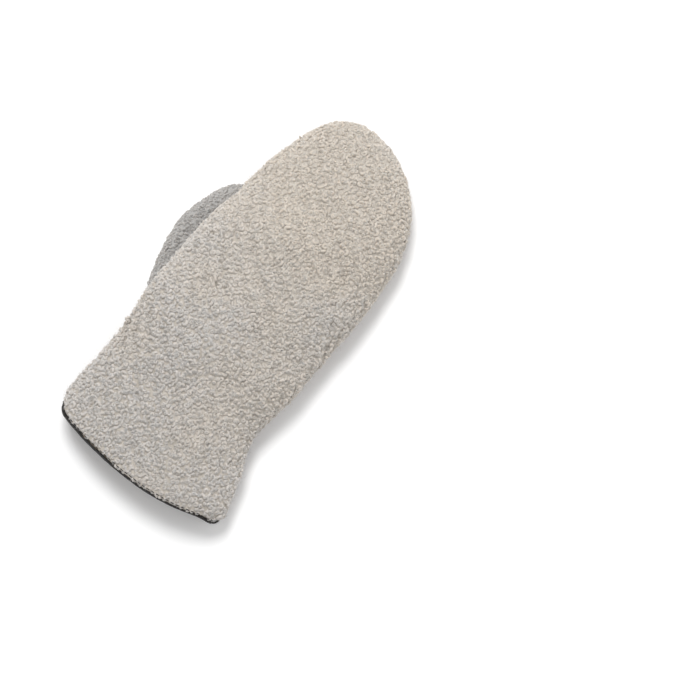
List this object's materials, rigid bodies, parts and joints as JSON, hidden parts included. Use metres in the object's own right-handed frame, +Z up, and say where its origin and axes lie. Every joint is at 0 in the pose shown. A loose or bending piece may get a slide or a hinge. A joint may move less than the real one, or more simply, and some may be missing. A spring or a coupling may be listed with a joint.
{
  "type": "shearling mitten",
  "caption": "Right-hand winter mitten with a curly shearling back and thumb, a soft leather palm and a bound, open cuff, lying palm down with its thumb folded under.",
  "frame": {"origin": "on the surface that the mitten lies on, below the middle of its box", "axes": "+Y from the cuff to the fingertips, -X the thumb side, +Z up with the shearling back on top"},
  "size_m": [0.141, 0.2826, 0.0482],
  "materials": {
    "shearling": "curly greige wool",
    "palm_leather": "soft dark brown nappa with a low sheen",
    "binding": "charcoal strip, matt",
    "loop_cord": "waxed thin cord"
  },
  "bodies": {
    "root": {"fur_back": "shearling", "leather_palm": "palm_leather", "thumb_fur": "shearling", "thumb_gusset": "palm_leather", "cuff_binding": "binding", "hang_loop": "loop_cord"}
  },
  "joints": []
}
